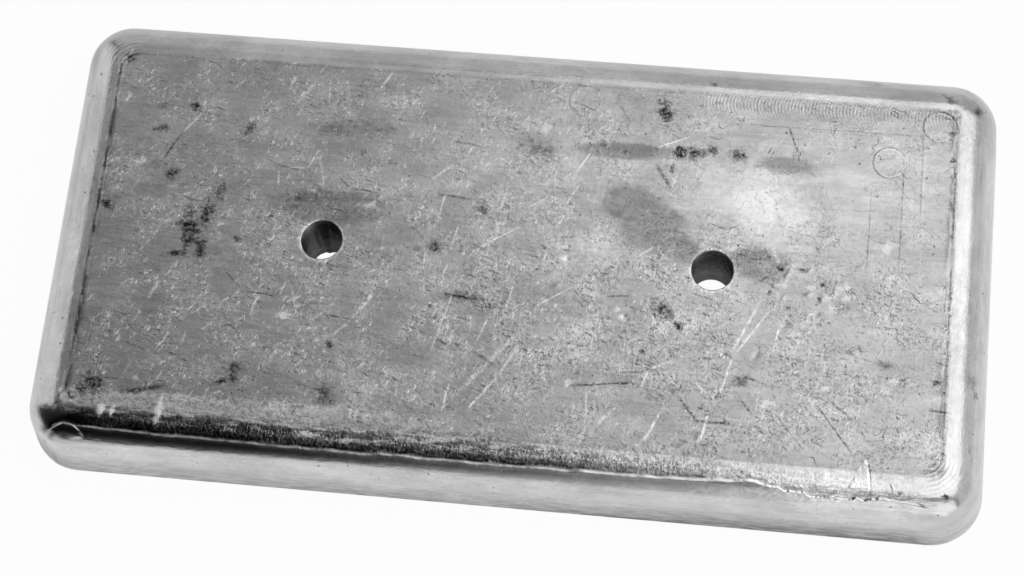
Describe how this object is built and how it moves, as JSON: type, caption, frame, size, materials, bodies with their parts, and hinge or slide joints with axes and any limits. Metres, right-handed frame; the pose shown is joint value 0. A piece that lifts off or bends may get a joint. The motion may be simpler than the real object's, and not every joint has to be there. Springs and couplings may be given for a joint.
{
  "type": "sacrificial anode",
  "caption": "Rectangular cast aluminium hull plate anode with rounded outer edges, a dressed feeder pad and two through holes for hull studs.",
  "frame": {"origin": "midway between the two stud holes, on the flat back that goes against the hull", "axes": "+Z out of the hull to the rounded face, +X along the plate's length, -Y towards the long side with the feeder pad"},
  "size_m": [0.3048, 0.1522, 0.027],
  "materials": {
    "cast_alloy": "as cast in a milled die, scuffed and stained"
  },
  "bodies": {
    "root": {"anode_plate": "cast_alloy"}
  },
  "joints": []
}
